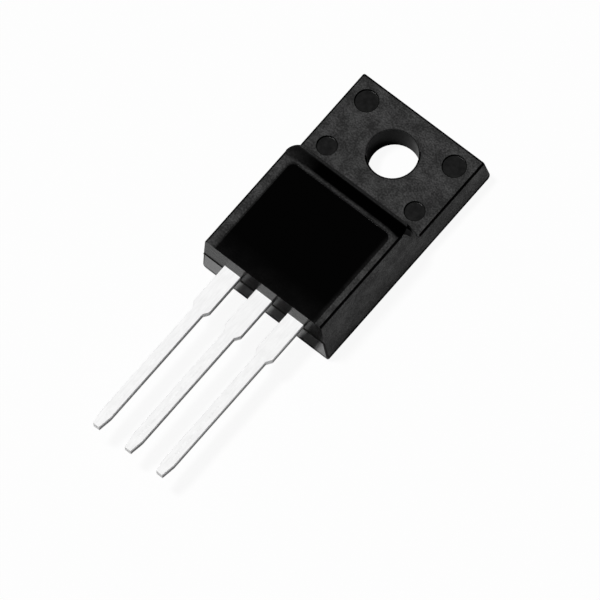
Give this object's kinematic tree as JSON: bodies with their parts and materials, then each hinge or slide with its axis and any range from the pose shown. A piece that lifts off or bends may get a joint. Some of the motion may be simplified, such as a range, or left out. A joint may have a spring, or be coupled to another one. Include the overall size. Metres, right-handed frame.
{
  "type": "power transistor",
  "caption": "Fully moulded power transistor with an isolated screw tab, a thicker body and three flat tinned leads.",
  "frame": {"origin": "middle of the screw hole on the back face of the body", "axes": "+Z out of the front face along the screw hole, +Y towards the screw end, leads along -Y, +X to the right seen from the front"},
  "size_m": [0.0102, 0.0288, 0.0047],
  "materials": {
    "epoxy": "fine matte moulded epoxy",
    "tinned_copper": "satin tin plate on copper",
    "solder": "satin",
    "silicon": "polished silicon",
    "aluminium_wire": "drawn"
  },
  "bodies": {
    "root": {"moulded_body": "epoxy", "collector_frame": "tinned_copper", "base_lead": "tinned_copper", "emitter_lead": "tinned_copper", "chip_solder": "solder", "silicon_chip": "silicon", "base_wire": "aluminium_wire", "emitter_wires": "aluminium_wire"}
  },
  "joints": []
}
